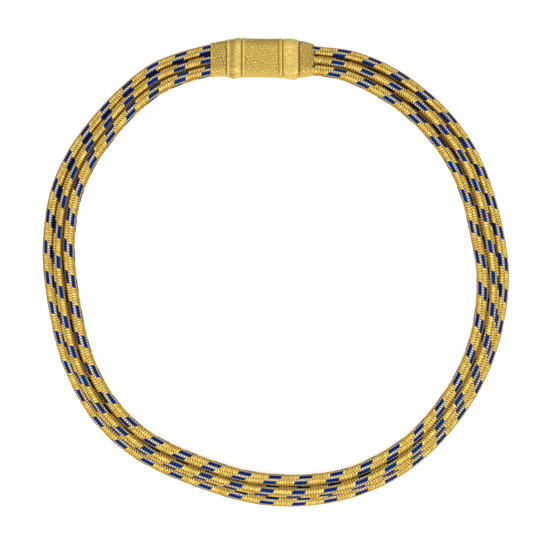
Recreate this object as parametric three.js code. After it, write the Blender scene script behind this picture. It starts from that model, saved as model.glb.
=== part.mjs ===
// Aiguillette: three loops of braided cord nested beside each other, their ends held in one lace sleeve.
// A lace wrap, a rolled band and a smooth band go round the sleeve, and a closed pin lies under the wrap.
// Millimetres, +Z up. It lies flat, with its loops round +Z and the sleeve at +Y, running along X.
import * as THREE from 'three';

// Cords
const cordDiameter = 6.1;
const cordGap = 0.3; // between two cords that lie against each other
const cordSides = 10;
const cordSteps = 84;

// Loops: the mean radius of the middle one, and its centre, set so that the whole lies round the origin
const ringRadius = 118;
const ringCentreX = -1;
const ringCentreY = 0.4;

// Sleeve and what goes round it, as lengths along X from the left mouth
const leftMouth = -33.8; // from the ring's centre
const leftEndLength = 8.8;
const rollLength = 7.6;
const wrapLength = 22;
const bandLength = 8.4;
const rightEndLength = 7.9;
const seamGap = 0.3; // between neighbouring bands
const sleeveWall = 1;
const rollWall = 1.2;
const wrapWall = 1;
const bandWall = 1.2;
const seatGap = 0.35; // round the cords, and between the sleeve and a band
const sleeveSteps = 21;
const arcSteps = 14; // round each side of the sleeve's outline
const samplesPerPoint = 40; // of a cord's way, where the sleeve follows it

// Pin: one closed wire loop under the wrap
const pinWire = 1.2;
const pinLength = 32;
const pinWidth = 6;
const pinGap = 0.3;
const pinRoundSteps = 8;

const cordRadius = cordDiameter / 2;
const cordSpacing = cordDiameter + cordGap;
const sleeveInside = cordRadius + seatGap;
const sleeveOutside = sleeveInside + sleeveWall;
const bandInside = sleeveOutside + seatGap;
const thickestBand = Math.max(rollWall, wrapWall, bandWall);
const sleeveLift = pinWire + pinGap + bandInside + thickestBand - cordRadius;
const sleeveStart = ringCentreX + leftMouth;
const rollStart = sleeveStart + leftEndLength;
const wrapStart = rollStart + rollLength + seamGap;
const bandStart = wrapStart + wrapLength + seamGap;
const sleeveLength = bandStart + bandLength + rightEndLength - sleeveStart;

// The way of the three loops, clockwise from +Y: degrees round, how far the middle cord lies out from the
// ring radius, how steeply the inner cord leans on the middle one and the middle one on the outer one, in
// degrees, and how much of the sleeve's height the outer cord has. The two ends meet inside the sleeve.
const route = [
  { at: -2.5, out: -3.5, leanIn: 0, leanOut: 0, lift: 1 },
  { at: 1, out: -3.6, leanIn: 0, leanOut: 0, lift: 1 },
  { at: 4.5, out: -3.6, leanIn: 7, leanOut: 7, lift: 1 },
  { at: 7.2, out: -3.5, leanIn: 18, leanOut: 18, lift: 0.9 },
  { at: 10.8, out: -3, leanIn: 34, leanOut: 34, lift: 0.6 },
  { at: 20, out: -1, leanIn: 37, leanOut: 24, lift: 0.1 },
  { at: 30, out: -0.1, leanIn: 26, leanOut: 14, lift: 0 },
  { at: 40, out: 0.9, leanIn: 5, leanOut: 30, lift: 0 },
  { at: 50, out: 1, leanIn: 4, leanOut: 27, lift: 0 },
  { at: 60, out: 0.9, leanIn: 5, leanOut: 32, lift: 0 },
  { at: 70, out: -0.2, leanIn: 14, leanOut: 34, lift: 0 },
  { at: 80, out: -0.7, leanIn: 8, leanOut: 29, lift: 0 },
  { at: 90, out: 0.4, leanIn: 24, leanOut: 28, lift: 0 },
  { at: 100, out: 1.8, leanIn: 19, leanOut: 43, lift: 0 },
  { at: 110, out: 3.1, leanIn: 18, leanOut: 51, lift: 0 },
  { at: 120, out: 3.7, leanIn: 24, leanOut: 50, lift: 0 },
  { at: 130, out: 4, leanIn: 28, leanOut: 48, lift: 0 },
  { at: 140, out: 5.3, leanIn: 23, leanOut: 52, lift: 0 },
  { at: 150, out: 5.5, leanIn: 12, leanOut: 50, lift: 0 },
  { at: 160, out: 5.2, leanIn: 7, leanOut: 53, lift: 0 },
  { at: 170, out: 3.3, leanIn: 5, leanOut: 46, lift: 0 },
  { at: 180, out: 1.2, leanIn: 14, leanOut: 38, lift: 0 },
  { at: 190, out: -0.6, leanIn: 26, leanOut: 39, lift: 0 },
  { at: 210, out: -0.2, leanIn: 12, leanOut: 48, lift: 0 },
  { at: 220, out: 0.9, leanIn: 21, leanOut: 44, lift: 0 },
  { at: 230, out: 1.3, leanIn: 5, leanOut: 45, lift: 0 },
  { at: 240, out: -0.2, leanIn: 16, leanOut: 43, lift: 0 },
  { at: 250, out: -1.9, leanIn: 14, leanOut: 39, lift: 0 },
  { at: 270, out: -2.2, leanIn: 20, leanOut: 33, lift: 0 },
  { at: 280, out: -0.7, leanIn: 30, leanOut: 31, lift: 0 },
  { at: 290, out: 1.2, leanIn: 31, leanOut: 29, lift: 0 },
  { at: 300, out: 1.8, leanIn: 32, leanOut: 32, lift: 0 },
  { at: 310, out: 1.5, leanIn: 37, leanOut: 33, lift: 0 },
  { at: 320, out: 2.4, leanIn: 36, leanOut: 37, lift: 0 },
  { at: 330, out: 2.8, leanIn: 32, leanOut: 30, lift: 0.05 },
  { at: 343.4, out: 0.1, leanIn: 27, leanOut: 24, lift: 0.5 },
  { at: 347.3, out: -1.1, leanIn: 16, leanOut: 15, lift: 0.85 },
  { at: 350, out: -1.8, leanIn: 6, leanOut: 6, lift: 1 },
  { at: 353, out: -2.6, leanIn: 0, leanOut: 0, lift: 1 },
  { at: 357, out: -3.4, leanIn: 0, leanOut: 0, lift: 1 },
];

// Outlines along X: how far along the piece, and how much of its wall stands there
const rollProfile = [
  { along: 0, rise: 0.7 },
  { along: 0.1, rise: 0.85 },
  { along: 0.24, rise: 0.6 },
  { along: 0.5, rise: 0.85 },
  { along: 0.8, rise: 1 },
  { along: 1, rise: 0.7 },
];
const wrapProfile = [
  { along: 0, rise: 0.8 },
  { along: 0.04, rise: 1 },
  { along: 0.12, rise: 1 },
  { along: 0.16, rise: 0.8 },
  { along: 0.32, rise: 0.8 },
  { along: 0.7, rise: 0.8 },
  { along: 0.84, rise: 0.8 },
  { along: 0.88, rise: 1 },
  { along: 0.96, rise: 1 },
  { along: 1, rise: 0.8 },
];
const bandProfile = [
  { along: 0, rise: 0.8 },
  { along: 0.2, rise: 1 },
  { along: 0.8, rise: 1 },
  { along: 1, rise: 0.75 },
];

// Finishes
const cordCloth = { color: 0xc49a45, roughness: 0.5, metalness: 0.25 };
const laceCloth = { color: 0xd2b054, roughness: 0.6, metalness: 0.2 };
const smoothCloth = { color: 0xdcbd66, roughness: 0.55, metalness: 0.2 };
const brass = { color: 0xc9a24a, roughness: 0.35, metalness: 0.9 };

// One loop: its place on the band is 1 for the outer cord, 0 for the middle one, -1 for the inner one
function loopCurve(place) {
  const points = route.map((row) => {
    const leanIn = THREE.MathUtils.degToRad(row.leanIn);
    const leanOut = THREE.MathUtils.degToRad(row.leanOut);
    const turn = THREE.MathUtils.degToRad(row.at);
    const side = place > 0 ? Math.cos(leanOut) : -Math.cos(leanIn);
    const radius = ringRadius + row.out + Math.abs(place) * side * cordSpacing;
    const outerHeight = cordRadius + row.lift * sleeveLift;
    const middleHeight = outerHeight + cordSpacing * Math.sin(leanOut);
    const innerHeight = middleHeight + cordSpacing * Math.sin(leanIn);
    const height = [innerHeight, middleHeight, outerHeight][place + 1];
    const x = ringCentreX + radius * Math.sin(turn);
    const y = ringCentreY + radius * Math.cos(turn);
    return new THREE.Vector3(x, y, height);
  });
  return new THREE.CatmullRomCurve3(points, false, 'centripetal');
}

// A cord is a round section carried along its curve
function cordGeometry(curve) {
  const corners = Array.from({ length: cordSides }, (_, i) => {
    const turn = (2 * Math.PI * (i + 0.5)) / cordSides;
    return new THREE.Vector2(cordRadius * Math.cos(turn), cordRadius * Math.sin(turn));
  });
  const section = new THREE.Shape(corners);
  return new THREE.ExtrudeGeometry(section, { steps: cordSteps, extrudePath: curve, bevelEnabled: false });
}

// The points of a curve in the half of the ring that holds the sleeve, in order of X
function upperHalf(curve) {
  return curve.getPoints(route.length * samplesPerPoint).filter((point) => point.y > 0).sort((a, b) => a.x - b.x);
}

// Where a cord crosses the plane at x, and how much its slant lengthens its section there
function crossing(points, x) {
  const next = points.findIndex((point) => point.x > x);
  const before = points[next - 1];
  const way = points[next].clone().sub(before);
  const { y, z } = before.clone().addScaledVector(way, (x - before.x) / way.x);
  return { y, z, acrossSlant: Math.hypot(1, way.y / way.x), upSlant: Math.hypot(1, way.z / way.x) };
}

// The points of the outline that wraps the three cords: the cord that each one lies against, and its
// direction in degrees from the line through the cords. Half circles go round the outer and the inner one.
function halfCircle(cord, from) {
  return Array.from({ length: arcSteps + 1 }, (_, i) => ({ cord, turn: from + (180 * i) / arcSteps }));
}
const outline = [
  ...halfCircle(2, -90),
  { cord: 1, turn: 90 },
  ...halfCircle(0, 90),
  { cord: 1, turn: 270 },
];

// That outline in the plane at x, at a given reach from the cords' centres
function wrapSection(x, reach) {
  const centres = upperHalves.map((points) => crossing(points, x));
  const lean = Math.atan2(centres[2].z - centres[0].z, centres[2].y - centres[0].y);
  return outline.map(({ cord, turn }) => {
    const direction = lean + THREE.MathUtils.degToRad(turn);
    const { y, z, acrossSlant, upSlant } = centres[cord];
    const across = reach * acrossSlant * Math.cos(direction);
    const up = reach * upSlant * Math.sin(direction);
    return new THREE.Vector3(x, y + across, z + up);
  });
}

// An open tube of cloth: outer outlines from left to right, then inner ones from right to left
function tubeGeometry(stations, insideReach, outsideReach) {
  const outer = stations.map((station) => wrapSection(station.x, outsideReach(station)));
  const inner = stations.map((station) => wrapSection(station.x, insideReach)).reverse();
  const rings = [...outer, ...inner];
  const index = [];
  rings.forEach((_, ring) => {
    const nextRing = (ring + 1) % rings.length;
    outline.forEach((_point, i) => {
      const j = (i + 1) % outline.length;
      const a = ring * outline.length + i;
      const b = ring * outline.length + j;
      const c = nextRing * outline.length + j;
      const d = nextRing * outline.length + i;
      index.push(a, b, d, b, c, d);
    });
  });
  const geometry = new THREE.BufferGeometry().setFromPoints(rings.flat());
  geometry.setIndex(index);
  geometry.computeVertexNormals();
  return geometry;
}

// A band round the sleeve, whose wall rises and falls along its length
function bandGeometry(start, length, wall, profile) {
  const stations = profile.map((row) => ({ x: start + row.along * length, rise: row.rise }));
  return tubeGeometry(stations, bandInside, (station) => bandInside + wall * station.rise);
}

function sleeveGeometry() {
  const stations = Array.from({ length: sleeveSteps + 1 }, (_, i) => ({
    x: sleeveStart + (i / sleeveSteps) * sleeveLength,
  }));
  return tubeGeometry(stations, sleeveInside, () => sleeveOutside);
}

// A long outline with round ends
function roundEnded(outline, length, width) {
  const radius = width / 2;
  const straight = length / 2 - radius;
  outline.absarc(straight, 0, radius, -Math.PI / 2, Math.PI / 2, false);
  outline.absarc(-straight, 0, radius, Math.PI / 2, (3 * Math.PI) / 2, false);
  outline.closePath();
  return outline;
}

function pinGeometry() {
  const loop = roundEnded(new THREE.Shape(), pinLength, pinWidth);
  loop.holes.push(roundEnded(new THREE.Path(), pinLength - 2 * pinWire, pinWidth - 2 * pinWire));
  return new THREE.ExtrudeGeometry(loop, { depth: pinWire, bevelEnabled: false, curveSegments: pinRoundSteps });
}

function addPiece(name, geometry, finish) {
  const mesh = new THREE.Mesh(geometry, new THREE.MeshStandardMaterial(finish));
  mesh.name = name;
  aiguillette.add(mesh);
  return mesh;
}

const innerLoop = loopCurve(-1);
const middleLoop = loopCurve(0);
const outerLoop = loopCurve(1);
const upperHalves = [innerLoop, middleLoop, outerLoop].map(upperHalf);

const aiguillette = new THREE.Group();
addPiece('cord_inner', cordGeometry(innerLoop), cordCloth);
addPiece('cord_middle', cordGeometry(middleLoop), cordCloth);
addPiece('cord_outer', cordGeometry(outerLoop), cordCloth);
addPiece('sleeve', sleeveGeometry(), laceCloth);
addPiece('left_roll', bandGeometry(rollStart, rollLength, rollWall, rollProfile), smoothCloth);
addPiece('centre_wrap', bandGeometry(wrapStart, wrapLength, wrapWall, wrapProfile), laceCloth);
addPiece('right_band', bandGeometry(bandStart, bandLength, bandWall, bandProfile), smoothCloth);

// The pin lies on the table, under the middle of the wrap
const wrapMiddle = wrapStart + wrapLength / 2;
const pin = addPiece('back_pin', pinGeometry(), brass);
pin.position.set(wrapMiddle, crossing(upperHalves[1], wrapMiddle).y, 0);

export default aiguillette;
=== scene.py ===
# An aiguillette: three nested loops of braided gold cord with blue flecks, their ends held in a lace sleeve.
# Metres, +Z up. The loops lie flat round +Z, and the sleeve is at +Y and runs along X.
import math

import bmesh
import bpy
import numpy as np
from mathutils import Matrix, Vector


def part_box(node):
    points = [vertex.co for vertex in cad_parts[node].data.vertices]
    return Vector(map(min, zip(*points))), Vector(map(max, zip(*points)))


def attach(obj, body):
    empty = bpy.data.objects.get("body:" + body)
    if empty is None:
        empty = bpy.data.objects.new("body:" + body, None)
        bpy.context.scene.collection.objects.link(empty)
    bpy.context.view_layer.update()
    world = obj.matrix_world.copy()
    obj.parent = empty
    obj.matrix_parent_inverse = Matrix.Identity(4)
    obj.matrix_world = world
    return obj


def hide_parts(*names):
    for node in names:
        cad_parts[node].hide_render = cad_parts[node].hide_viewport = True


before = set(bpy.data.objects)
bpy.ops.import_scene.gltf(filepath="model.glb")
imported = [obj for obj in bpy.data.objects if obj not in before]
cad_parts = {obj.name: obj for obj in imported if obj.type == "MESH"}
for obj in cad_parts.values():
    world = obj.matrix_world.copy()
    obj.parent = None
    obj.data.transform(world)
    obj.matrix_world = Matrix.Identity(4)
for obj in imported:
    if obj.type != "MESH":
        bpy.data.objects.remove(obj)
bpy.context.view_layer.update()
print("frame loaded:", len(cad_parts), "nodes")

# Camera: straight above, far off with a long lens
cameraView = {
    "centre": (-0.00019, -0.00218),  # what the middle of the picture shows
    "width": 0.297,  # what the picture spans at the height of the cords
    "subjectHeight": 0.006,
    "height": 2.7,
    "sensor": 36.0,  # millimetres
}


def makeCamera(view):
    data = bpy.data.cameras.new("topCamera")
    data.sensor_width = view["sensor"]
    data.lens = view["sensor"] * (view["height"] - view["subjectHeight"]) / view["width"]
    camera = bpy.data.objects.new("topCamera", data)
    camera.location = (*view["centre"], view["height"])
    bpy.context.scene.collection.objects.link(camera)
    bpy.context.scene.camera = camera


makeCamera(cameraView)
print("camera placed")

# The way of the loops, as the model has it
loopPlan = {
    "ringRadius": 0.118,
    "ringCentre": (-0.001, 0.0004),
    "cordDiameter": 0.0061,
    "cordSpacing": 0.0064,
    "sleeveLift": 0.0044,  # of the outer cord's centre, inside the sleeve
    "spanSteps": 24,  # points worked out between two rows of the route
    "squeeze": 0.08,  # how much nearer the cords are inside the sleeve, as a share
}

# Degrees clockwise from +Y, metres out from the ring radius, how steeply the inner cord leans on the middle
# one and the middle one on the outer one, in degrees, and the share of the sleeve's lift
loopRoute = np.array([
    (-2.5, -0.0035, 0, 0, 1), (1, -0.0036, 0, 0, 1), (4.5, -0.0036, 7, 7, 1), (7.2, -0.0035, 18, 18, 0.9),
    (10.8, -0.003, 34, 34, 0.6), (20, -0.001, 37, 24, 0.1), (30, -0.0001, 26, 14, 0), (40, 0.0009, 5, 30, 0),
    (50, 0.001, 4, 27, 0), (60, 0.0009, 5, 32, 0), (70, -0.0002, 14, 34, 0), (80, -0.0007, 8, 29, 0),
    (90, 0.0004, 24, 28, 0), (100, 0.0018, 19, 43, 0), (110, 0.0031, 18, 51, 0), (120, 0.0037, 24, 50, 0),
    (130, 0.004, 28, 48, 0), (140, 0.0053, 23, 52, 0), (150, 0.0055, 12, 50, 0), (160, 0.0052, 7, 53, 0),
    (170, 0.0033, 5, 46, 0), (180, 0.0012, 14, 38, 0), (190, -0.0006, 26, 39, 0), (210, -0.0002, 12, 48, 0),
    (220, 0.0009, 21, 44, 0), (230, 0.0013, 5, 45, 0), (240, -0.0002, 16, 43, 0), (250, -0.0019, 14, 39, 0),
    (270, -0.0022, 20, 33, 0), (280, -0.0007, 30, 31, 0), (290, 0.0012, 31, 29, 0), (300, 0.0018, 32, 32, 0),
    (310, 0.0015, 37, 33, 0), (320, 0.0024, 36, 37, 0), (330, 0.0028, 32, 30, 0.05),
    (343.4, 0.0001, 27, 24, 0.5), (347.3, -0.0011, 16, 15, 0.85), (350, -0.0018, 6, 6, 1),
    (353, -0.0026, 0, 0, 1), (357, -0.0034, 0, 0, 1),
])


def unit(vectors):
    return vectors / np.linalg.norm(vectors, axis=-1, keepdims=True)


# Each row of the route gives a point of one loop. Its radius is the ring radius plus the row's own, plus the
# cosine of the lean times the spacing. Its height goes up by the sine of each lean it rests on.
def loopPoints(place):
    at, out, leanIn, leanOut, lift = loopRoute.T
    leanIn, leanOut = np.radians(leanIn), np.radians(leanOut)
    spacing = loopPlan["cordSpacing"] * (1 - loopPlan["squeeze"] * lift)
    across = {-1: -np.cos(leanIn), 0: 0 * at, 1: np.cos(leanOut)}[place]
    radius = loopPlan["ringRadius"] + out + across * spacing
    outerHeight = loopPlan["cordDiameter"] / 2 + lift * loopPlan["sleeveLift"]
    middleHeight = outerHeight + spacing * np.sin(leanOut)
    innerHeight = middleHeight + spacing * np.sin(leanIn)
    height = {-1: innerHeight, 0: middleHeight, 1: outerHeight}[place]
    turn = np.radians(at)
    x = loopPlan["ringCentre"][0] + radius * np.sin(turn)
    y = loopPlan["ringCentre"][1] + radius * np.cos(turn)
    return np.column_stack((x, y, height))


# A smooth line through points: on each span a cubic whose slopes at both ends come from the neighbours, with
# knots spaced by the square root of the distance between the points
def smoothPath(points, steps):
    p = np.vstack((2 * points[0] - points[1], points, 2 * points[-1] - points[-2]))
    knot = np.sqrt(np.linalg.norm(np.diff(p, axis=0), axis=1))[:, None]
    before, here, after = knot[:-2], knot[1:-1], knot[2:]
    p0, p1, p2, p3 = p[:-3], p[1:-2], p[2:-1], p[3:]
    slopeIn = here * ((p1 - p0) / before - (p2 - p0) / (before + here) + (p2 - p1) / here)
    slopeOut = here * ((p2 - p1) / here - (p3 - p1) / (here + after) + (p3 - p2) / after)
    t = np.linspace(0, 1, steps, endpoint=False)[None, :, None]
    a, b, m, n = p1[:, None], p2[:, None], slopeIn[:, None], slopeOut[:, None]
    curve = a + m * t + (3 * (b - a) - 2 * m - n) * t**2 + (2 * (a - b) + m + n) * t**3
    return np.vstack((curve.reshape(-1, 3), points[-1:]))


# A line with what goes with each of its points: the angle round the ring, the directions away from the ring's
# centre and up, both at right angles to the line, and the share of the sleeve's lift
def loopLine(place):
    line = smoothPath(loopPoints(place), loopPlan["spanSteps"])
    fromCentre = line - (*loopPlan["ringCentre"], 0)
    angle = np.degrees(np.unwrap(np.arctan2(fromCentre[:, 0], fromCentre[:, 1])))
    ahead = unit(np.gradient(line, axis=0))
    fromCentre[:, 2] = 0
    outward = fromCentre - (fromCentre * ahead).sum(1, keepdims=True) * ahead
    outward = unit(outward)
    lift = np.interp(angle, loopRoute[:, 0], loopRoute[:, 4])
    return {"line": line, "angle": angle, "outward": outward, "up": np.cross(ahead, outward), "lift": lift}


loops = {"inner": loopLine(-1), "middle": loopLine(0), "outer": loopLine(1)}


# Meshes from grids
def makePiece(name, points, faces, material, node=None):
    mesh = bpy.data.meshes.new(name)
    mesh.from_pydata(points.reshape(-1, 3).tolist(), [], faces.tolist())
    mesh.shade_smooth()
    mesh.materials.append(material)
    piece = bpy.data.objects.new(name, mesh)
    bpy.context.scene.collection.objects.link(piece)
    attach(piece, "root")
    if node:
        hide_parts(node)
    return piece


# Quads of a grid whose rows run along the piece and whose columns go round it and close
def closedGridFaces(rows, columns, endless=False):
    row = np.arange(rows if endless else rows - 1)[:, None]
    column = np.arange(columns)[None, :]
    nextRow = (row + 1) % rows
    nextColumn = (column + 1) % columns
    corners = (row * columns + column, nextRow * columns + column)
    farCorners = (nextRow * columns + nextColumn, row * columns + nextColumn)
    return np.stack(np.broadcast_arrays(*corners, *farCorners), -1).reshape(-1, 4)


def addPointValues(piece, name, values):
    attribute = piece.data.attributes.new(name, "FLOAT", "POINT")
    attribute.data.foreach_set("value", values.ravel().astype(np.float32))


# Node trees
def newMaterial(name):
    material = bpy.data.materials.new(name)
    material.use_nodes = True
    return material


def addNode(tree, kind, inputs=(), **settings):
    node = tree.nodes.new(kind)
    for key, value in settings.items():
        setattr(node, key, value)
    for key, value in dict(inputs).items():
        if isinstance(value, bpy.types.NodeSocket):
            tree.links.new(value, node.inputs[key])
        else:
            node.inputs[key].default_value = value
    return node


def calculate(tree, operation, first, second=0.0, third=0.0):
    inputs = {0: first, 1: second, 2: third}
    return addNode(tree, "ShaderNodeMath", inputs, operation=operation).outputs[0]


# From 0 at the lower limit to 1 at the upper one, smoothly
def smoothBetween(tree, value, low, high):
    inputs = {0: value, 1: low, 2: high}
    return addNode(tree, "ShaderNodeMapRange", inputs, interpolation_type="SMOOTHSTEP").outputs[0]


def mixColours(tree, share, first, second, blend="MIX"):
    node = addNode(tree, "ShaderNodeMix", {0: share, 6: first, 7: second}, data_type="RGBA", blend_type=blend)
    return node.outputs[2]


def noise(tree, place, scale, roughness, detail=2.0):
    inputs = {"Vector": place, "Scale": scale, "Detail": detail, "Roughness": roughness}
    return addNode(tree, "ShaderNodeTexNoise", inputs).outputs[0]


def addBump(tree, height, finish):
    inputs = {"Height": height, "Strength": finish["bumpStrength"], "Distance": finish["bump"]}
    return addNode(tree, "ShaderNodeBump", inputs).outputs[0]


def readUv(tree, name):
    uv = addNode(tree, "ShaderNodeUVMap", uv_map=name).outputs[0]
    parts = addNode(tree, "ShaderNodeSeparateXYZ", {0: uv})
    return uv, parts.outputs[0], parts.outputs[1]


def readValue(tree, name):
    return addNode(tree, "ShaderNodeAttribute", attribute_name=name).outputs["Fac"]


# Braid of the cords: six columns of threads go round each cord. Threads lean forwards in the wide part of a
# column and back in the narrow part. In the wide part five threads of every twelve are blue.
braid = {
    "columns": 6,
    "across": (-1 / 3, -1 / 6, 0, 1 / 6, 1 / 3, 1 / 2),  # places of the mesh lines in a column, in columns
    "lean": (-0.3, -0.15, 0, 0.15, 0.3, 0),  # how far ahead a thread is there, in threads
    "height": (0.2, 0.85, 1, 0.85, 0.2, 0.6),  # of a thread there, as a share of the relief
    "crest": (0, 0.8, 1, 0.8),  # height across one thread, as a share of the relief
    "period": 12,
    "blueThreads": 5,
    "blueStep": 2,  # threads that the blue moves ahead from one column to the next
    "relief": 0.00025,
    "radius": 0.00332,  # to the crests
    "pressed": 0.08,  # how much narrower the cord is inside the sleeve, as a share
    "toothed": 0.13,  # of the blue's edge, in columns
    "blueHalfWidth": 0.38,
    "openSide": 0.28,  # how far painted shade may reach on the inner cord's open side, where on the other sides it may reach 1
    # degrees round the ring, and how strong the painted shade on the cords' sides is there
    "sideShadeStrength": [(0, 1), (40, 0.9), (75, 0.6), (110, 0.4), (160, 0.35), (205, 0.5), (250, 0.75),
                 (285, 0.95), (360, 1)],
    "pastEnds": 2,  # threads worked out past each end of the cord, then pulled back to it
    "mergeDistance": 1e-7,
}

# Where the blue comes round in each cord: its count at angles round the ring in degrees, and the tilt of its
# first column from straight up towards the outside, also in degrees
braidCounts = {
    "inner": [(0, 16.9), (5, 60), (10, 103.8), (15, 145.9), (20, 188.1), (25, 231.7), (30, 275.6),
              (35, 317.6), (37, 333.9), (38, 341.5)],
    "middle": [(0, 17), (5, 58.7), (10, 100.3), (15, 141.1), (20, 181.6), (25, 223.3), (30, 264.1),
               (35, 304.1), (39, 335.1), (40, 342.2)],
    "outer": [(0, 18), (5, 57.4), (10, 96.3), (15, 135.2), (20, 173.7), (25, 213.4), (30, 252.7), (35, 291.4),
              (40, 329.4), (41, 336.8), (42, 343.8)],
}
braidTilts = {
    "inner": [(0, -23), (70, -24), (86, -38), (100, -24), (155, -24), (171, -38), (186, -24), (315, -22),
              (328, -12), (345, -20)],
    "middle": [(0, 10), (17, 14), (33, 12), (50, 0), (360, 0)],
    "outer": [(0, 45), (60, 45), (75, 37), (175, 37), (190, 25), (270, 25), (285, 37), (360, 37)],
}


# The angle round the ring at which a count of threads lies, straight on past both ends of the table
def threadAngles(name, threads):
    counts, angles = np.array(braidCounts[name]).T
    slope = (angles[-1] - angles[0]) / (counts[-1] - counts[0])
    more = 3  # counts past each end
    counts = np.concatenate(([counts[0] - more], counts, [counts[-1] + more]))
    angles = np.concatenate(([angles[0] - more * slope], angles, [angles[-1] + more * slope]))
    return np.interp((threads - 0.5) / braid["period"], counts, angles)


# One cord as a grid. Rows follow the threads, four to a thread, and columns go round the cord. A point lies
# out from the loop's line at its thread's angle, by the radius less what the thread lies below its crest.
def cordMesh(name, material):
    loop = loops[name]
    perThread = len(braid["crest"])
    columns = braid["columns"] * len(braid["across"])
    column = np.repeat(np.arange(braid["columns"]), len(braid["across"]))
    across = column + np.tile(braid["across"], braid["columns"])
    lean = np.tile(braid["lean"], braid["columns"])
    counts, angles = np.array(braidCounts[name]).T
    slope = (angles[-1] - angles[0]) / (counts[-1] - counts[0])
    firstAngle, lastAngle = loop["angle"][[0, -1]]
    firstCount = counts[0] - (angles[0] - firstAngle) / slope
    lastCount = counts[-1] + (lastAngle - angles[-1]) / slope
    firstThread = math.floor(braid["period"] * firstCount) - braid["pastEnds"]
    lastThread = math.ceil(braid["period"] * lastCount) + braid["pastEnds"]
    rows = (lastThread - firstThread) * perThread + 1
    thread = firstThread + np.arange(rows) / perThread
    angle = np.clip(threadAngles(name, thread[:, None] + lean), firstAngle, lastAngle)

    def along(values):
        return np.stack([np.interp(angle, loop["angle"], part) for part in values.T], -1)

    lift = np.interp(angle, loop["angle"], loop["lift"])
    firstTilt = np.interp(angle, *np.array(braidTilts[name], float).T)
    tilt = np.radians(firstTilt + across * 360 / braid["columns"])
    crest = np.tile(braid["crest"], rows // perThread + 1)[:rows, None]
    height = crest * np.tile(braid["height"], braid["columns"])
    radius = braid["radius"] - braid["relief"] * (1 - height)
    narrow = 1 - braid["pressed"] * lift
    sideways = (radius * narrow * np.sin(tilt))[..., None] * along(loop["outward"])
    upwards = (radius * np.cos(tilt))[..., None] * along(loop["up"])
    points = along(loop["line"]) + sideways + upwards
    points[..., 2] = np.maximum(points[..., 2], 0)  # flat where it lies on the table

    piece = makePiece(
        "braid_" + name, points, closedGridFaces(rows, columns), material, "cord_" + name)
    # How far a point faces away from the middle of the loops, by the strength of the painted side shade
    # there, and less than 0 inwards
    facing = np.sin(tilt) * np.interp(angle, *np.array(braid["sideShadeStrength"], float).T)
    if name == "inner":
        facing = np.maximum(facing, -braid["openSide"])
    addPointValues(piece, "outwards", facing)

    # The unwrapped braid: threads along, columns round, with each column's middle on a half
    acrossNext = np.append(across[1:], braid["columns"] + across[0])
    u = np.stack((thread[:-1], thread[1:], thread[1:], thread[:-1]), -1)
    v = np.stack((across, across, acrossNext, acrossNext), -1) + 0.5
    u, v = np.broadcast_arrays(u[:, None], v[None])
    uvMap = piece.data.uv_layers.new(name="braid")
    uvMap.data.foreach_set("uv", np.stack((u, v), -1).ravel().astype(np.float32))
    closeEnds(piece)
    return piece


# Merges the points that were pulled back to the cord's ends, and closes the ends
def closeEnds(piece):
    mesh = bmesh.new()
    mesh.from_mesh(piece.data)
    bmesh.ops.remove_doubles(mesh, verts=mesh.verts, dist=braid["mergeDistance"])
    loose = [vertex for vertex in mesh.verts if not vertex.link_faces]
    bmesh.ops.delete(mesh, geom=loose, context="VERTS")
    openEdges = [edge for edge in mesh.edges if edge.is_boundary]
    bmesh.ops.holes_fill(mesh, edges=openEdges, sides=0)
    mesh.to_mesh(piece.data)
    mesh.free()


# Gold and blue metal thread of the cords
cordFinish = {
    "gold": (0.64, 0.39, 0.06, 1),
    "goldPale": (0.98, 0.79, 0.23, 1),
    # painted shade at the gold threads' edges and in the grooves
    "goldShaded": (0.09, 0.03, 0.002, 1),
    "goldWhite": (0.96, 0.86, 0.45, 1),
    # painted shade in the dots between the threads' ends
    "recessShade": (0.02, 0.008, 0.002, 1),
    "blue": (0.001, 0.036, 0.27, 1),
    # painted shade at the blue threads' edges
    "blueShaded": (0.0006, 0.002, 0.006, 1),
    "innerSideShade": (0.46, 0.22, 0.05, 1),  # painted shade on the side that faces the middle of the loops
    "outerSideShade": (0.52, 0.31, 0.09, 1),  # painted shade on the side that faces away from it
    # pairs give how far a point faces that way where the painted shade begins, and where it is full
    "innerSide": (0.1, 0.78),
    "outerSide": (0.55, 1.0),
    "metallic": 0.55,
    "specular": 0.25,
    "specularTint": (1.0, 0.66, 0.28, 1),  # of light that glances off the threads
    "roughness": 0.3,  # at least
    "roughnessSpread": 0.2,
    # pairs give where something begins and where it is full, in columns from the middle of one
    "narrowPart": (0.32, 0.35),
    "dots": (0.34, 0.44),  # painted shade, between the threads' ends
    "hollow": (0.2, 0.9),  # the same for a thread's edges, which take painted shade, from its crest at 0 to its edge at 1
    "border": 0.07,  # half the width of the painted shade in the groove beside the wide part of a column, in columns
    "borderShare": 0.6,  # how dark that painted shade is
    "wideHollow": 0.55,  # how dark the painted shade at a thread's edges is in the wide part of a column
    "narrowHollowMore": 0.4,  # and how much darker in the narrow part
    "whiteShare": 0.8,  # how white the narrow part is beside the blue
    "shadeShare": 0.62,  # of each thread's own shade in how pale it is
    "glintShare": 0.38,  # and of the glints on it
    "glints": (1.6, 4.0),  # to a thread along it, and to a column
    "glintLimits": (0.42, 0.66),
    "wires": 5,  # side by side in one thread
    "wireDepth": 0.35,  # as a share of the bump
    "bump": 0.00005,
    "bumpStrength": 0.8,
}
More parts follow.
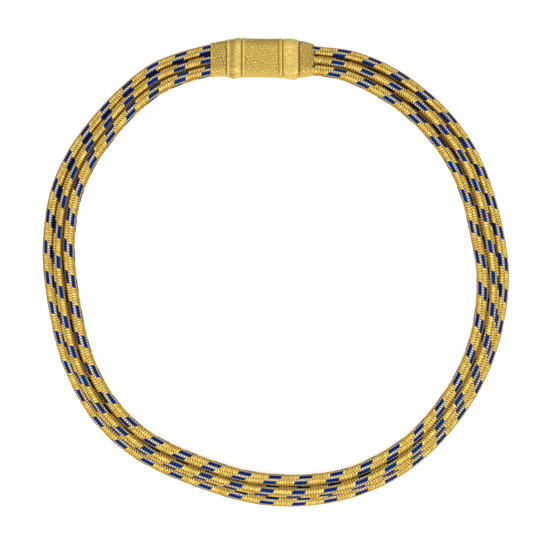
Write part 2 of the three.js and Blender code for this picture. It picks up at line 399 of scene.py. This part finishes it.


# The blue's mask counts threads from the middle of the nearest blue stretch, less the step from column to
# column, and takes those within half its threads that also lie in the wide part of the column. Painted shade
# darkens threads to their edges and in the groove beside the wide part of a column. Between two columns
# painted shade leaves dark dots at the threads' ends, and beside the blue the threads shine nearly white. The
# cord's two sides are darker than its top by painted shade, each with its own colour. Fine wires are bump.
def cordMaterial(finish):
    material = newMaterial("braidedCord")
    tree = material.node_tree
    uv, threads, columns = readUv(tree, "braid")
    half = braid["period"] / 2
    column = calculate(tree, "FLOOR", columns)
    aside = calculate(tree, "ABSOLUTE", calculate(tree, "SUBTRACT", calculate(tree, "FRACT", columns), 0.5))
    shifted = calculate(tree, "SUBTRACT", threads, calculate(tree, "MULTIPLY", column, braid["blueStep"]))
    place = calculate(tree, "FLOORED_MODULO", calculate(tree, "ADD", shifted, half - 0.5), braid["period"])
    fromMiddle = calculate(tree, "ABSOLUTE", calculate(tree, "SUBTRACT", place, half))
    inStretch = calculate(tree, "LESS_THAN", fromMiddle, braid["blueThreads"] / 2)
    fromCrest = calculate(tree, "ABSOLUTE", calculate(
        tree, "SUBTRACT", calculate(tree, "MULTIPLY", calculate(tree, "FRACT", threads), 2), 1))
    hollow = smoothBetween(tree, fromCrest, *finish["hollow"])
    tooth = calculate(tree, "MULTIPLY", hollow, braid["toothed"])
    reach = calculate(tree, "SUBTRACT", braid["blueHalfWidth"], tooth)
    blue = calculate(tree, "MULTIPLY", inStretch, calculate(tree, "LESS_THAN", aside, reach))
    narrow = smoothBetween(tree, aside, *finish["narrowPart"])
    fromBorder = calculate(tree, "ABSOLUTE", calculate(tree, "SUBTRACT", aside, 1 / 3))
    nearBorder = calculate(tree, "SUBTRACT", finish["border"], fromBorder)
    border = smoothBetween(tree, nearBorder, 0.0, finish["border"])

    # each thread of each column has a shade of its own
    whichThread = addNode(tree, "ShaderNodeCombineXYZ", {
        0: calculate(tree, "FLOOR", threads), 1: column, 2: calculate(tree, "ROUND", narrow)})
    shades = addNode(tree, "ShaderNodeTexWhiteNoise", {0: whichThread.outputs[0]}, noise_dimensions="3D")
    stretched = addNode(tree, "ShaderNodeMapping", {"Vector": uv, "Scale": (*finish["glints"], 1)})
    fine = noise(tree, stretched.outputs[0], 1.0, 0.6)
    glint = smoothBetween(tree, fine, *finish["glintLimits"])
    glint = calculate(tree, "MULTIPLY", glint, finish["glintShare"])
    pale = calculate(tree, "MULTIPLY_ADD", shades.outputs[0], finish["shadeShare"], glint)
    gold = mixColours(tree, pale, finish["gold"], finish["goldPale"])
    # painted shade at the threads' edges and in the groove beside the wide part of a column
    edge = calculate(tree, "MULTIPLY_ADD", narrow, finish["narrowHollowMore"], finish["wideHollow"])
    edge = calculate(tree, "MULTIPLY", hollow, edge)
    dark = calculate(tree, "MAXIMUM", edge, calculate(tree, "MULTIPLY", border, finish["borderShare"]))
    gold = mixColours(tree, dark, gold, finish["goldShaded"])
    besideBlue = calculate(tree, "MULTIPLY", inStretch, narrow)
    white = calculate(tree, "MULTIPLY", besideBlue, calculate(tree, "SUBTRACT", 1.0, hollow))
    white = calculate(tree, "MULTIPLY", white, finish["whiteShare"])
    gold = mixColours(tree, white, gold, finish["goldWhite"])
    # painted shade in the dots between the threads' ends, and at the blue threads' edges
    dot = calculate(tree, "MULTIPLY", hollow, smoothBetween(tree, aside, *finish["dots"]))
    gold = mixColours(tree, dot, gold, finish["recessShade"])
    navy = mixColours(tree, hollow, finish["blue"], finish["blueShaded"])
    colour = mixColours(tree, blue, gold, navy)

    # painted shade on the cord's two sides, each side with its own colour, strongest where the side faces
    # most sideways
    outwards = readValue(tree, "outwards")
    innerSide = smoothBetween(tree, calculate(tree, "MULTIPLY", outwards, -1.0), *finish["innerSide"])
    outerSide = smoothBetween(tree, outwards, *finish["outerSide"])
    colour = mixColours(tree, innerSide, colour, finish["innerSideShade"], "MULTIPLY")
    colour = mixColours(tree, outerSide, colour, finish["outerSideShade"], "MULTIPLY")
    wires = calculate(tree, "SINE", calculate(tree, "MULTIPLY", threads, 2 * math.pi * finish["wires"]))
    relief = calculate(tree, "MULTIPLY_ADD", wires, finish["wireDepth"], fine)
    bump = addBump(tree, relief, finish)
    metallic = calculate(tree, "MAXIMUM", blue, finish["metallic"])
    spread = calculate(tree, "MULTIPLY_ADD", fine, finish["roughnessSpread"], finish["roughness"])
    shader = tree.nodes["Principled BSDF"]
    tree.links.new(colour, shader.inputs["Base Color"])
    tree.links.new(metallic, shader.inputs["Metallic"])
    shader.inputs["Specular IOR Level"].default_value = finish["specular"]
    shader.inputs["Specular Tint"].default_value = finish["specularTint"]
    tree.links.new(spread, shader.inputs["Roughness"])
    tree.links.new(bump, shader.inputs["Normal"])
    return material


braidedCord = cordMaterial(cordFinish)
for name, loop in loops.items():
    cord = cordMesh(name, braidedCord)

# Sleeve and bands. Each one's reach is how far the cloth stands from the line through the cords' centres, at
# shares of its length. Its bulges are a share of the length, then how much more it reaches there towards the
# middle of the loops and away from it. Its shine is the height of plain ridges and grooves, and -1 where the
# weave shows; that height also paints a highlight on the ridges and shade in the grooves. Lengths are in
# metres.
sleevePlan = {
    "left": -0.0348, "right": 0.0209, "inside": 0.00305, "bottomInside": 0.0034,
    "reach": [(0, 0.0033), (0.01, 0.0036), (0.03, 0.0035), (0.1, 0.0039), (0.15, 0.0042), (0.17, 0.0038),
              (0.83, 0.0038), (0.855, 0.0042), (0.89, 0.0041), (0.93, 0.0038), (0.96, 0.0034), (0.98, 0.0032),
              (1, 0.0029)],
    "bottom": 0.0044, "top": 0.0001,
    "bulges": [(0, 0, 0.0003), (0.2, 0, 0), (0.84, 0, 0.0001), (0.93, 0, 0.0007), (1, 0, 0.0011)],
    "fineStep": 0.0002, "hidden": (0.18, 0.84), "hiddenSteps": 12, "around": 230, "relief": 0.0002,
    "shine": [(0, 0.8), (0.012, 0.8), (0.016, 0.3), (0.022, -1), (0.143, -1), (0.147, 0.1), (0.165, 0.1),
              (0.85, 0.05), (0.862, 0.05), (0.866, -1), (0.985, -1), (0.992, 0.3), (1, 0.2)],
}
rollPlan = {
    "left": -0.0262, "right": -0.01825, "inside": 0.0041, "bottomInside": 0.00475,
    "reach": [(0, 0.0043), (0.04, 0.0046), (0.12, 0.0047), (0.2, 0.0045), (0.3, 0.00445), (0.45, 0.0046),
              (0.6, 0.0049), (0.75, 0.0051), (0.88, 0.0051), (0.96, 0.0049), (1, 0.0045)],
    "bottom": 0.0059, "top": 0.0002,
    "bulges": [(0.2, 0, 0), (0.32, 0.0007, 0), (0.42, 0.001, 0), (0.55, 0.0006, 0), (0.7, 0, 0)],
    "fineStep": 0.0002, "around": 200, "relief": 0.00006,
    "shine": [(0, 0.3), (0.05, 0.85), (0.13, 1), (0.2, 0.5), (0.28, 0.3), (0.45, 0.4), (0.6, 0.7),
              (0.78, 0.9), (0.92, 0.9), (1, 0.4)],
}
wrapPlan = {
    "left": -0.0182, "right": 0.004, "inside": 0.0041, "bottomInside": 0.00475,
    "reach": [(0, 0.0045), (0.03, 0.0049), (0.08, 0.0049), (0.1, 0.0046), (0.5, 0.0045), (0.885, 0.0046),
              (0.92, 0.0049), (0.98, 0.0049), (1, 0.0045)],
    "bottom": 0.0056, "top": 0.0001, "bulges": [(0, 0, 0)],
    "fineStep": 0.0002, "around": 240, "relief": 0.00024,
    "shine": [(0, 0.35), (0.02, 0.6), (0.05, 0.9), (0.085, 0.8), (0.1, 0.4), (0.11, -1), (0.88, -1),
              (0.892, 0.2), (0.915, 0.5), (0.94, 0.9), (0.975, 0.8), (1, 0.35)],
}
bandPlan = {
    "left": 0.0041, "right": 0.0127, "inside": 0.0041, "bottomInside": 0.00475,
    "reach": [(0, 0.0045), (0.06, 0.0048), (0.3, 0.005), (0.7, 0.0051), (0.9, 0.0048), (1, 0.0042)],
    "bottom": 0.0058, "top": 0.0001,
    "bulges": [(0, 0, 0), (0.3, 0.00024, 0), (0.6, 0.0004, 0), (0.8, 0.0004, 0), (1, 0.0001, 0)],
    "fineStep": 0.0002, "around": 200, "relief": 0.00006,
    "shine": [(0, 0.4), (0.05, 0.85), (0.1, 0.65), (0.14, 0.85), (0.9, 0.9), (0.95, 0.7), (0.97, 0.05),
              (1, 0.05)],
}
# Shared by all four. Their plain parts have faint ripples, aslant.
clothPlan = {"outlineSteps": 2001, "innerRows": 8, "ripple": 0.06, "rippleWidth": 0.0009, "rippleSlant": 900}


# Where each cord crosses the planes at x: its place along Y, its height, and how much its slant stretches
# its section each of these ways
def crossings(x):
    found = []
    for loop in loops.values():
        line = loop["line"][loop["line"][:, 1] > 0]
        line = line[np.argsort(line[:, 0])]
        slope = np.gradient(line, axis=0)
        y, z = (np.interp(x, line[:, 0], line[:, part]) for part in (1, 2))
        slantY, slantZ = (np.interp(x, line[:, 0], slope[:, part] / slope[:, 0]) for part in (1, 2))
        found.append((y, z, np.hypot(1, slantY), np.hypot(1, slantZ)))
    return found


# The outline round the cords in planes across X. Its centre runs from the inner cord to the outer one and
# back, and its direction turns half round at each of them. The reach grows below and above with the square of
# the sine, and to either side by what bulges there.
def outlinePoints(x, quarter, side, bottom, top, innerBulge=0, outerBulge=0):
    inner, _, outer = crossings(x)
    share = np.interp(quarter, [0, 1, 2, 3, 4], [1, 0, 0, 1, 1])
    turn = np.radians(np.interp(quarter, [0, 1, 2, 3, 4], [-90, -90, -270, -270, -450]))
    y, z, slantY, slantZ = (i[:, None] * (1 - share) + o[:, None] * share for i, o in zip(inner, outer))
    lean = np.arctan2(outer[1] - inner[1], outer[0] - inner[0])[:, None]
    sine = np.sin(turn)
    reach = side[:, None] + (bottom[:, None] - side[:, None]) * np.clip(-sine, 0, 1) ** 2
    reach = reach + top * np.clip(sine, 0, 1) ** 2
    cosine = np.cos(turn)
    reach = reach + innerBulge * np.clip(-cosine, 0, 1) ** 2 + outerBulge * np.clip(cosine, 0, 1) ** 2
    across = reach * slantY * np.cos(turn + lean)
    up = reach * slantZ * np.sin(turn + lean)
    return np.stack((np.broadcast_to(x[:, None], y.shape), y + across, z + up), -1)


# Places round the outline at even distances, as quarters and in metres, and its length
def evenQuarters(plan, count):
    quarter = np.linspace(0, 4, clothPlan["outlineSteps"])
    x = np.array([(plan["left"] + plan["right"]) / 2])
    reach = np.array([np.interp(0.5, *np.array(plan["reach"]).T)])
    line = outlinePoints(x, quarter, reach, np.array([plan["bottom"]]), plan["top"])[0]
    travelled = np.concatenate(([0], np.cumsum(np.linalg.norm(np.diff(line, axis=0), axis=1))))
    even = np.linspace(0, travelled[-1], count, endpoint=False)
    return np.interp(even, travelled, quarter), even, travelled[-1]


# Two over and two under, on the slant: threads run along two diagonals, one apart in m and n. A thread shows
# where the step of the two counts says so, and rises as an arch across itself and along its float.
def diagonalWeave(along, around):
    m, n = along + around, along - around
    step = np.mod(np.floor(m) - np.floor(n), 4)
    first = step < 2
    phase = np.where(first, n - np.floor(n) + 1 - step, m - np.floor(m) + step - 2)
    across = np.where(first, m - np.floor(m), n - np.floor(n))
    arch = (1 - (2 * across - 1) ** 2) ** lacePlan["archPower"]
    return arch * np.sin(np.pi * np.clip(phase, 0, 2) / 2) ** lacePlan["floatPower"]


# Long slanting ribs that turn back on two lines along the tube, broken into floats that step sideways. A rib
# rises as an arch across itself and along each float.
def chevronWeave(along, around, turns, turnAt):
    fromTurn = np.abs(np.mod(around - turnAt + turns / 2, turns) - turns / 2)
    rib = along - fromTurn
    across = rib - np.floor(rib)
    way = np.mod(fromTurn + along + np.floor(rib) * lacePlan["ribStep"], lacePlan["ribFloat"])
    way = way / lacePlan["ribFloat"]
    return (1 - (2 * across - 1) ** 2) * np.sin(np.pi * way) ** lacePlan["ribPower"]


# A tube of cloth: outer outlines from left to right with the weave standing on them, then plain inner ones
# back
def clothTube(name, plan, x, weave, material, node):
    length = plan["right"] - plan["left"]
    quarter, even, perimeter = evenQuarters(plan, plan["around"])
    share = (x - plan["left"]) / length
    reach = np.interp(share, *np.array(plan["reach"]).T)
    middle = np.interp(0.5, *np.array(plan["reach"]).T)
    at, inwards, outwards = np.array(plan["bulges"], float).T
    bulges = (np.interp(share, at, side)[:, None] for side in (inwards, outwards))
    outer = outlinePoints(x, quarter, reach, reach + plan["bottom"] - middle, plan["top"], *bulges)
    direction = unit(np.cross(np.gradient(outer, axis=0), np.roll(outer, -1, 1) - np.roll(outer, 1, 1)))
    pattern = weave(x[:, None] - plan["left"], even[None, :], perimeter)
    shine = np.interp(share, *np.array(plan["shine"], float).T)[:, None]
    ripples = np.round(perimeter / clothPlan["rippleWidth"]) * even / perimeter
    ripples = ripples + clothPlan["rippleSlant"] * x[:, None]
    plain = shine + clothPlan["ripple"] * np.sin(2 * np.pi * ripples)
    pattern = np.clip(np.where(shine < 0, pattern, plain), 0, 1)
    outer = outer + direction * (plan["relief"] * (pattern - 0.5))[..., None]
    innerX = np.linspace(plan["right"], plan["left"], clothPlan["innerRows"])
    flat = np.ones(len(innerX))
    inner = outlinePoints(innerX, quarter, flat * plan["inside"], flat * plan["bottomInside"], 0)
    points = np.concatenate((outer, inner))
    faces = closedGridFaces(len(points), plan["around"], endless=True)
    piece = makePiece(name, points, faces, material, node)
    addPointValues(piece, "weave", np.concatenate((pattern, np.full(inner.shape[:2], 0.5))))
    # how far each point faces away from the loops, which places the painted highlight and painted shade on
    # the cloth's sides
    addPointValues(piece, "outwards", np.concatenate((direction[..., 1], np.zeros(inner.shape[:2]))))
    print(name, "made:", len(faces), "faces")


def evenSteps(plan):
    steps = round((plan["right"] - plan["left"]) / plan["fineStep"])
    return np.linspace(plan["left"], plan["right"], steps + 1)


# The sleeve is fine at its two ends and coarse where the bands hide it
def sleeveSteps(plan):
    length = plan["right"] - plan["left"]
    startHidden, endHidden = (plan["left"] + share * length for share in plan["hidden"])
    return np.concatenate((
        np.arange(plan["left"], startHidden, plan["fineStep"]),
        np.linspace(startHidden, endHidden, plan["hiddenSteps"], endpoint=False),
        np.arange(endHidden, plan["right"], plan["fineStep"]),
        [plan["right"]],
    ))


lacePlan = {
    "wrapThread": 0.00106, "leftThread": 0.0012, "ribPitch": 0.00145,
    "archPower": 0.8, "floatPower": 0.45, "ribPower": 0.3,  # lower makes threads flatter
    "ribFloat": 4, "ribStep": 1.7,  # length of a float, and its step from rib to rib, in ribs
    "turnAt": 0.71,  # where the ribs of the right end turn back, as a share of the way round
    "drift": 0.25,  # how far threads stray from their line, in threads
    # waves of that to a turn, and radians to a metre along
    "stray": (7, 300), "rise": (5, 520), "risePhase": 1,
}


# Counts of threads along and round the tube, so that the pattern closes after a whole even number of them.
# A slow wave each way makes them stray.
def threadCounts(along, around, perimeter, width):
    turns = 2 * round(perimeter / width / 2)
    turn = 2 * np.pi * around / perimeter
    perTurn, perMetre = lacePlan["stray"]
    stray = lacePlan["drift"] * np.sin(perTurn * turn + perMetre * along)
    perTurn, perMetre = lacePlan["rise"]
    rise = lacePlan["drift"] * np.sin(perTurn * turn + lacePlan["risePhase"] + perMetre * along)
    return along / width + stray, around / perimeter * turns + rise, turns


# The sleeve's left end is a fine weave on the slant, and its right end has slanting ribs
def sleeveWeave(along, around, perimeter):
    m, n, _ = threadCounts(along, around, perimeter, lacePlan["leftThread"] * math.sqrt(2))
    leftEnd = diagonalWeave(m, n)
    m, n, turns = threadCounts(along, around, perimeter, lacePlan["ribPitch"])
    rightEnd = chevronWeave(m, n, turns, lacePlan["turnAt"] * turns)
    middle = (sleevePlan["right"] - sleevePlan["left"]) / 2
    return np.where(along < middle, leftEnd, rightEnd)


def wrapWeave(along, around, perimeter):
    m, n, _ = threadCounts(along, around, perimeter, lacePlan["wrapThread"] * math.sqrt(2))
    return diagonalWeave(m, n)


# Bands are smooth
def bandWeave(along, around, perimeter):
    return 0 * (along + around)


laceFinish = {
    "gold": (0.42, 0.26, 0.042, 1),
    "goldPale": (0.78, 0.58, 0.17, 1),
    # painted shade in the weave's hollows
    "goldShaded": (0.12, 0.055, 0.006, 1),
    "outerSideShade": (0.62, 0.73, 0.82, 1),  # painted shade on the side that faces away from the loops
    "innerHighlight": 0.6,  # how strong the painted highlight is on the side that faces the loops
    # pairs give how far a point faces that way where the painted highlight on the inner side and the painted
    # shade on the outer side begin, and where they are full
    "innerSide": (0.1, 0.9),
    "outerSide": (0.3, 1.0),
    "metallic": 0.8,
    "roughness": 0.6,
    "grain": 1000.0,  # of the mottled thread, per metre
    "mottleLimits": (0.36, 0.64),
    "mottleShare": 0.5,  # of the mottling in how pale the thread is, and the rest is the weave's height, a painted highlight on its ridges
    # painted shade towards the weave's hollows: how fast it grows with depth, and how dark it gets
    "hollowPower": 1.8, "hollowShare": 0.8,
    "patchScale": 320.0,  # of the tarnish, per metre
    "patchTints": ((0.82, 0.86, 0.7, 1), (1.15, 1.08, 1.05, 1)),
    "bump": 0.00006,
    "bumpStrength": 0.8,
}
# Smooth bands: their own gold, a weaker painted highlight on the side that faces the loops, and a finer bump
bandFinish = dict(
    laceFinish, gold=(0.46, 0.29, 0.052, 1), goldPale=(0.82, 0.64, 0.21, 1), innerHighlight=0.2, bump=0.00004)


# Lace takes its colour from the height of the weave: paler on the ridges, a painted highlight, and darker in
# the hollows, painted shade. Fine threads and patches of tarnish lie over it. On the side that faces the
# loops it has a painted highlight, and on the other a cooler painted shade.
def laceMaterial(name, finish, stretch):
    material = newMaterial(name)
    tree = material.node_tree
    place = addNode(tree, "ShaderNodeTexCoord").outputs["Object"]
    height = readValue(tree, "weave")
    stretched = addNode(tree, "ShaderNodeMapping", {"Vector": place, "Scale": stretch})
    fine = noise(tree, stretched.outputs[0], finish["grain"], 0.6)
    patches = noise(tree, place, finish["patchScale"], 0.5)
    mottle = smoothBetween(tree, fine, *finish["mottleLimits"])
    mottle = calculate(tree, "MULTIPLY", mottle, finish["mottleShare"])
    # the weave's height paints a highlight on its ridges and shade in its hollows
    pale = calculate(tree, "MULTIPLY_ADD", height, 1 - finish["mottleShare"], mottle)
    gold = mixColours(tree, pale, finish["gold"], finish["goldPale"])
    depth = calculate(tree, "POWER", calculate(tree, "SUBTRACT", 1.0, height), finish["hollowPower"])
    depth = calculate(tree, "MULTIPLY", depth, finish["hollowShare"])
    gold = mixColours(tree, depth, gold, finish["goldShaded"])
    # painted highlight on the side that faces the loops, and painted shade on the side that faces away
    outwards = readValue(tree, "outwards")
    innerSide = smoothBetween(tree, calculate(tree, "MULTIPLY", outwards, -1.0), *finish["innerSide"])
    wearAndSheen = calculate(tree, "MULTIPLY", innerSide, finish["innerHighlight"])
    gold = mixColours(tree, wearAndSheen, gold, finish["goldPale"])
    colour = mixColours(tree, 1.0, gold, mixColours(tree, patches, *finish["patchTints"]), "MULTIPLY")
    outerSide = smoothBetween(tree, outwards, *finish["outerSide"])
    sideShaded = mixColours(tree, 1.0, colour, finish["outerSideShade"], "MULTIPLY")
    colour = mixColours(tree, outerSide, colour, sideShaded)
    shader = tree.nodes["Principled BSDF"]
    shader.inputs["Metallic"].default_value = finish["metallic"]
    shader.inputs["Roughness"].default_value = finish["roughness"]
    tree.links.new(colour, shader.inputs["Base Color"])
    tree.links.new(addBump(tree, fine, finish), shader.inputs["Normal"])
    return material


lace = laceMaterial("wovenLace", laceFinish, (1, 1, 1))
smoothLace = laceMaterial("smoothBand", bandFinish, (0.45, 1, 1))
clothTube("lace_sleeve", sleevePlan, sleeveSteps(sleevePlan), sleeveWeave, lace, "sleeve")
clothTube("lace_wrap", wrapPlan, evenSteps(wrapPlan), wrapWeave, lace, "centre_wrap")
clothTube("rolled_band", rollPlan, evenSteps(rollPlan), bandWeave, smoothLace, "left_roll")
clothTube("smooth_band", bandPlan, evenSteps(bandPlan), bandWeave, smoothLace, "right_band")

# Pin: a closed loop of round wire under the wrap, held by stitches near its ends
pinPlan = {
    "wireRadius": 0.0005, "height": 0.00074, "sides": 12, "bendSteps": 16, "straightSteps": 12,
    "stitchPlaces": (-0.0105, -0.0095, -0.0085, 0.0085, 0.0095, 0.0105),  # along the wire, from its middle
    "stitchRadius": 0.00012, "stitchHalfWidth": 0.0007, "stitchTop": 0.0021, "stitchSides": 6,
    "stitchSteps": 20,
}


# A closed tube: a circle carried round a flat closed line, between its outward direction and another one
def closedTube(line, outward, upward, radius, sides):
    turn = np.linspace(0, 2 * np.pi, sides, endpoint=False)[None, :, None]
    ring = np.cos(turn) * outward[:, None] + np.sin(turn) * upward
    return line[:, None] + radius * ring


# The pin's line is two half circles joined by straights
def pinMesh(plan, material):
    low, high = (np.array(corner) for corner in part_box("back_pin"))
    centre = (low + high) / 2
    bend = (high[1] - low[1]) / 2 - plan["wireRadius"]
    straight = (high[0] - low[0]) / 2 - plan["wireRadius"] - bend
    turn = np.concatenate((
        np.linspace(-90, 90, plan["bendSteps"]), np.full(plan["straightSteps"], 90),
        np.linspace(90, 270, plan["bendSteps"]), np.full(plan["straightSteps"], 270),
    ))
    inside = np.linspace(straight, -straight, plan["straightSteps"] + 2)[1:-1]
    shift = np.concatenate((
        np.full(plan["bendSteps"], straight), inside, np.full(plan["bendSteps"], -straight), -inside))
    outward = np.column_stack((np.cos(np.radians(turn)), np.sin(np.radians(turn)), 0 * turn))
    line = centre * (1, 1, 0) + bend * outward
    line[:, 0] += shift
    line[:, 2] = plan["height"]
    points = closedTube(line, outward, np.array((0, 0, 1)), plan["wireRadius"], plan["sides"])
    faces = closedGridFaces(len(points), plan["sides"], endless=True)
    makePiece("pin_wire", points, faces, material, "back_pin")


# Each stitch is an oval loop round the wire, standing across it and reaching up into the wrap
def stitchMesh(plan, material):
    sides, steps = plan["stitchSides"], plan["stitchSteps"]
    low, high = (np.array(corner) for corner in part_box("back_pin"))
    wires = (low[1] + plan["wireRadius"], high[1] - plan["wireRadius"])
    turn = np.linspace(0, 2 * np.pi, steps, endpoint=False)
    bottom = plan["stitchRadius"]
    halfHeight = (plan["stitchTop"] - bottom) / 2
    outward = np.column_stack((0 * turn, np.cos(turn), np.sin(turn)))
    oval = outward * (0, plan["stitchHalfWidth"], halfHeight)
    points, faces = [], []
    for place in plan["stitchPlaces"]:
        for wire in wires:
            centre = np.array(((low[0] + high[0]) / 2 + place, wire, bottom + halfHeight))
            tube = closedTube(oval + centre, outward, np.array((1, 0, 0)), plan["stitchRadius"], sides)
            faces.append(closedGridFaces(steps, sides, endless=True) + len(points) * steps * sides)
            points.append(tube)
    makePiece("pin_stitches", np.stack(points), np.concatenate(faces), material)


pinFinish = {
    "colour": (0.62, 0.42, 0.14, 1),
    "wearAndSheen": (0.36, 0.22, 0.07, 1),
    "roughness": 0.2,  # at least
    "roughnessSpread": 0.25,
    "grain": 1800.0,  # of the scratches, per metre
    "stretch": (0.3, 1, 1),
}


def pinMaterial(finish):
    material = newMaterial("pinBrass")
    tree = material.node_tree
    place = addNode(tree, "ShaderNodeTexCoord").outputs["Object"]
    stretched = addNode(tree, "ShaderNodeMapping", {"Vector": place, "Scale": finish["stretch"]})
    marks = noise(tree, stretched.outputs[0], finish["grain"], 0.5, detail=3.0)
    colour = mixColours(tree, marks, finish["colour"], finish["wearAndSheen"])
    rough = calculate(tree, "MULTIPLY_ADD", marks, finish["roughnessSpread"], finish["roughness"])
    shader = tree.nodes["Principled BSDF"]
    shader.inputs["Metallic"].default_value = 1.0
    tree.links.new(colour, shader.inputs["Base Color"])
    tree.links.new(rough, shader.inputs["Roughness"])
    return material


pinMesh(pinPlan, pinMaterial(pinFinish))
stitchMesh(pinPlan, smoothLace)
print("pin and stitches made")

# Floor and light
studio = {
    "floorSize": 3.0,
    "floorColour": (0.5, 0.5, 0.5, 1),
    "floorRoughness": 0.9,
    "floorGlow": 0.62,  # the floor's own light, so that it is white beside the object too
    "skyStrength": 0.95,
    "lamps": [
        # name, place, size, watts
        ("softBox", (0.0, -0.45, 1.4), 1.0, 9),
        ("spark", (0.25, -0.5, 1.2), 0.1, 0.8),
    ],
}


def makeStudio(plan):
    half = plan["floorSize"] / 2
    mesh = bpy.data.meshes.new("floor")
    corners = [(-half, -half, 0), (half, -half, 0), (half, half, 0), (-half, half, 0)]
    mesh.from_pydata(corners, [], [(0, 1, 2, 3)])
    floor = bpy.data.objects.new("floor", mesh)
    bpy.context.scene.collection.objects.link(floor)
    paper = newMaterial("palePaper")
    shader = paper.node_tree.nodes["Principled BSDF"]
    shader.inputs["Base Color"].default_value = plan["floorColour"]
    shader.inputs["Roughness"].default_value = plan["floorRoughness"]
    shader.inputs["Emission Color"].default_value = (1, 1, 1, 1)
    shader.inputs["Emission Strength"].default_value = plan["floorGlow"]
    mesh.materials.append(paper)
    world = bpy.data.worlds.new("studio")
    world.use_nodes = True
    world.node_tree.nodes["Background"].inputs[0].default_value = (1, 1, 1, 1)
    world.node_tree.nodes["Background"].inputs[1].default_value = plan["skyStrength"]
    bpy.context.scene.world = world
    for name, place, size, watts in plan["lamps"]:
        lamp = bpy.data.lights.new(name, "AREA")
        lamp.size = size
        lamp.energy = watts
        holder = bpy.data.objects.new(name, lamp)
        holder.location = place
        toObject = -np.array(place)
        holder.rotation_euler = (
            math.atan2(math.hypot(toObject[0], toObject[1]), -toObject[2]), 0,
            math.atan2(toObject[1], toObject[0]) - math.pi / 2)
        bpy.context.scene.collection.objects.link(holder)


makeStudio(studio)
bpy.context.scene.view_settings.view_transform = "Standard"
print("floor and lights set")
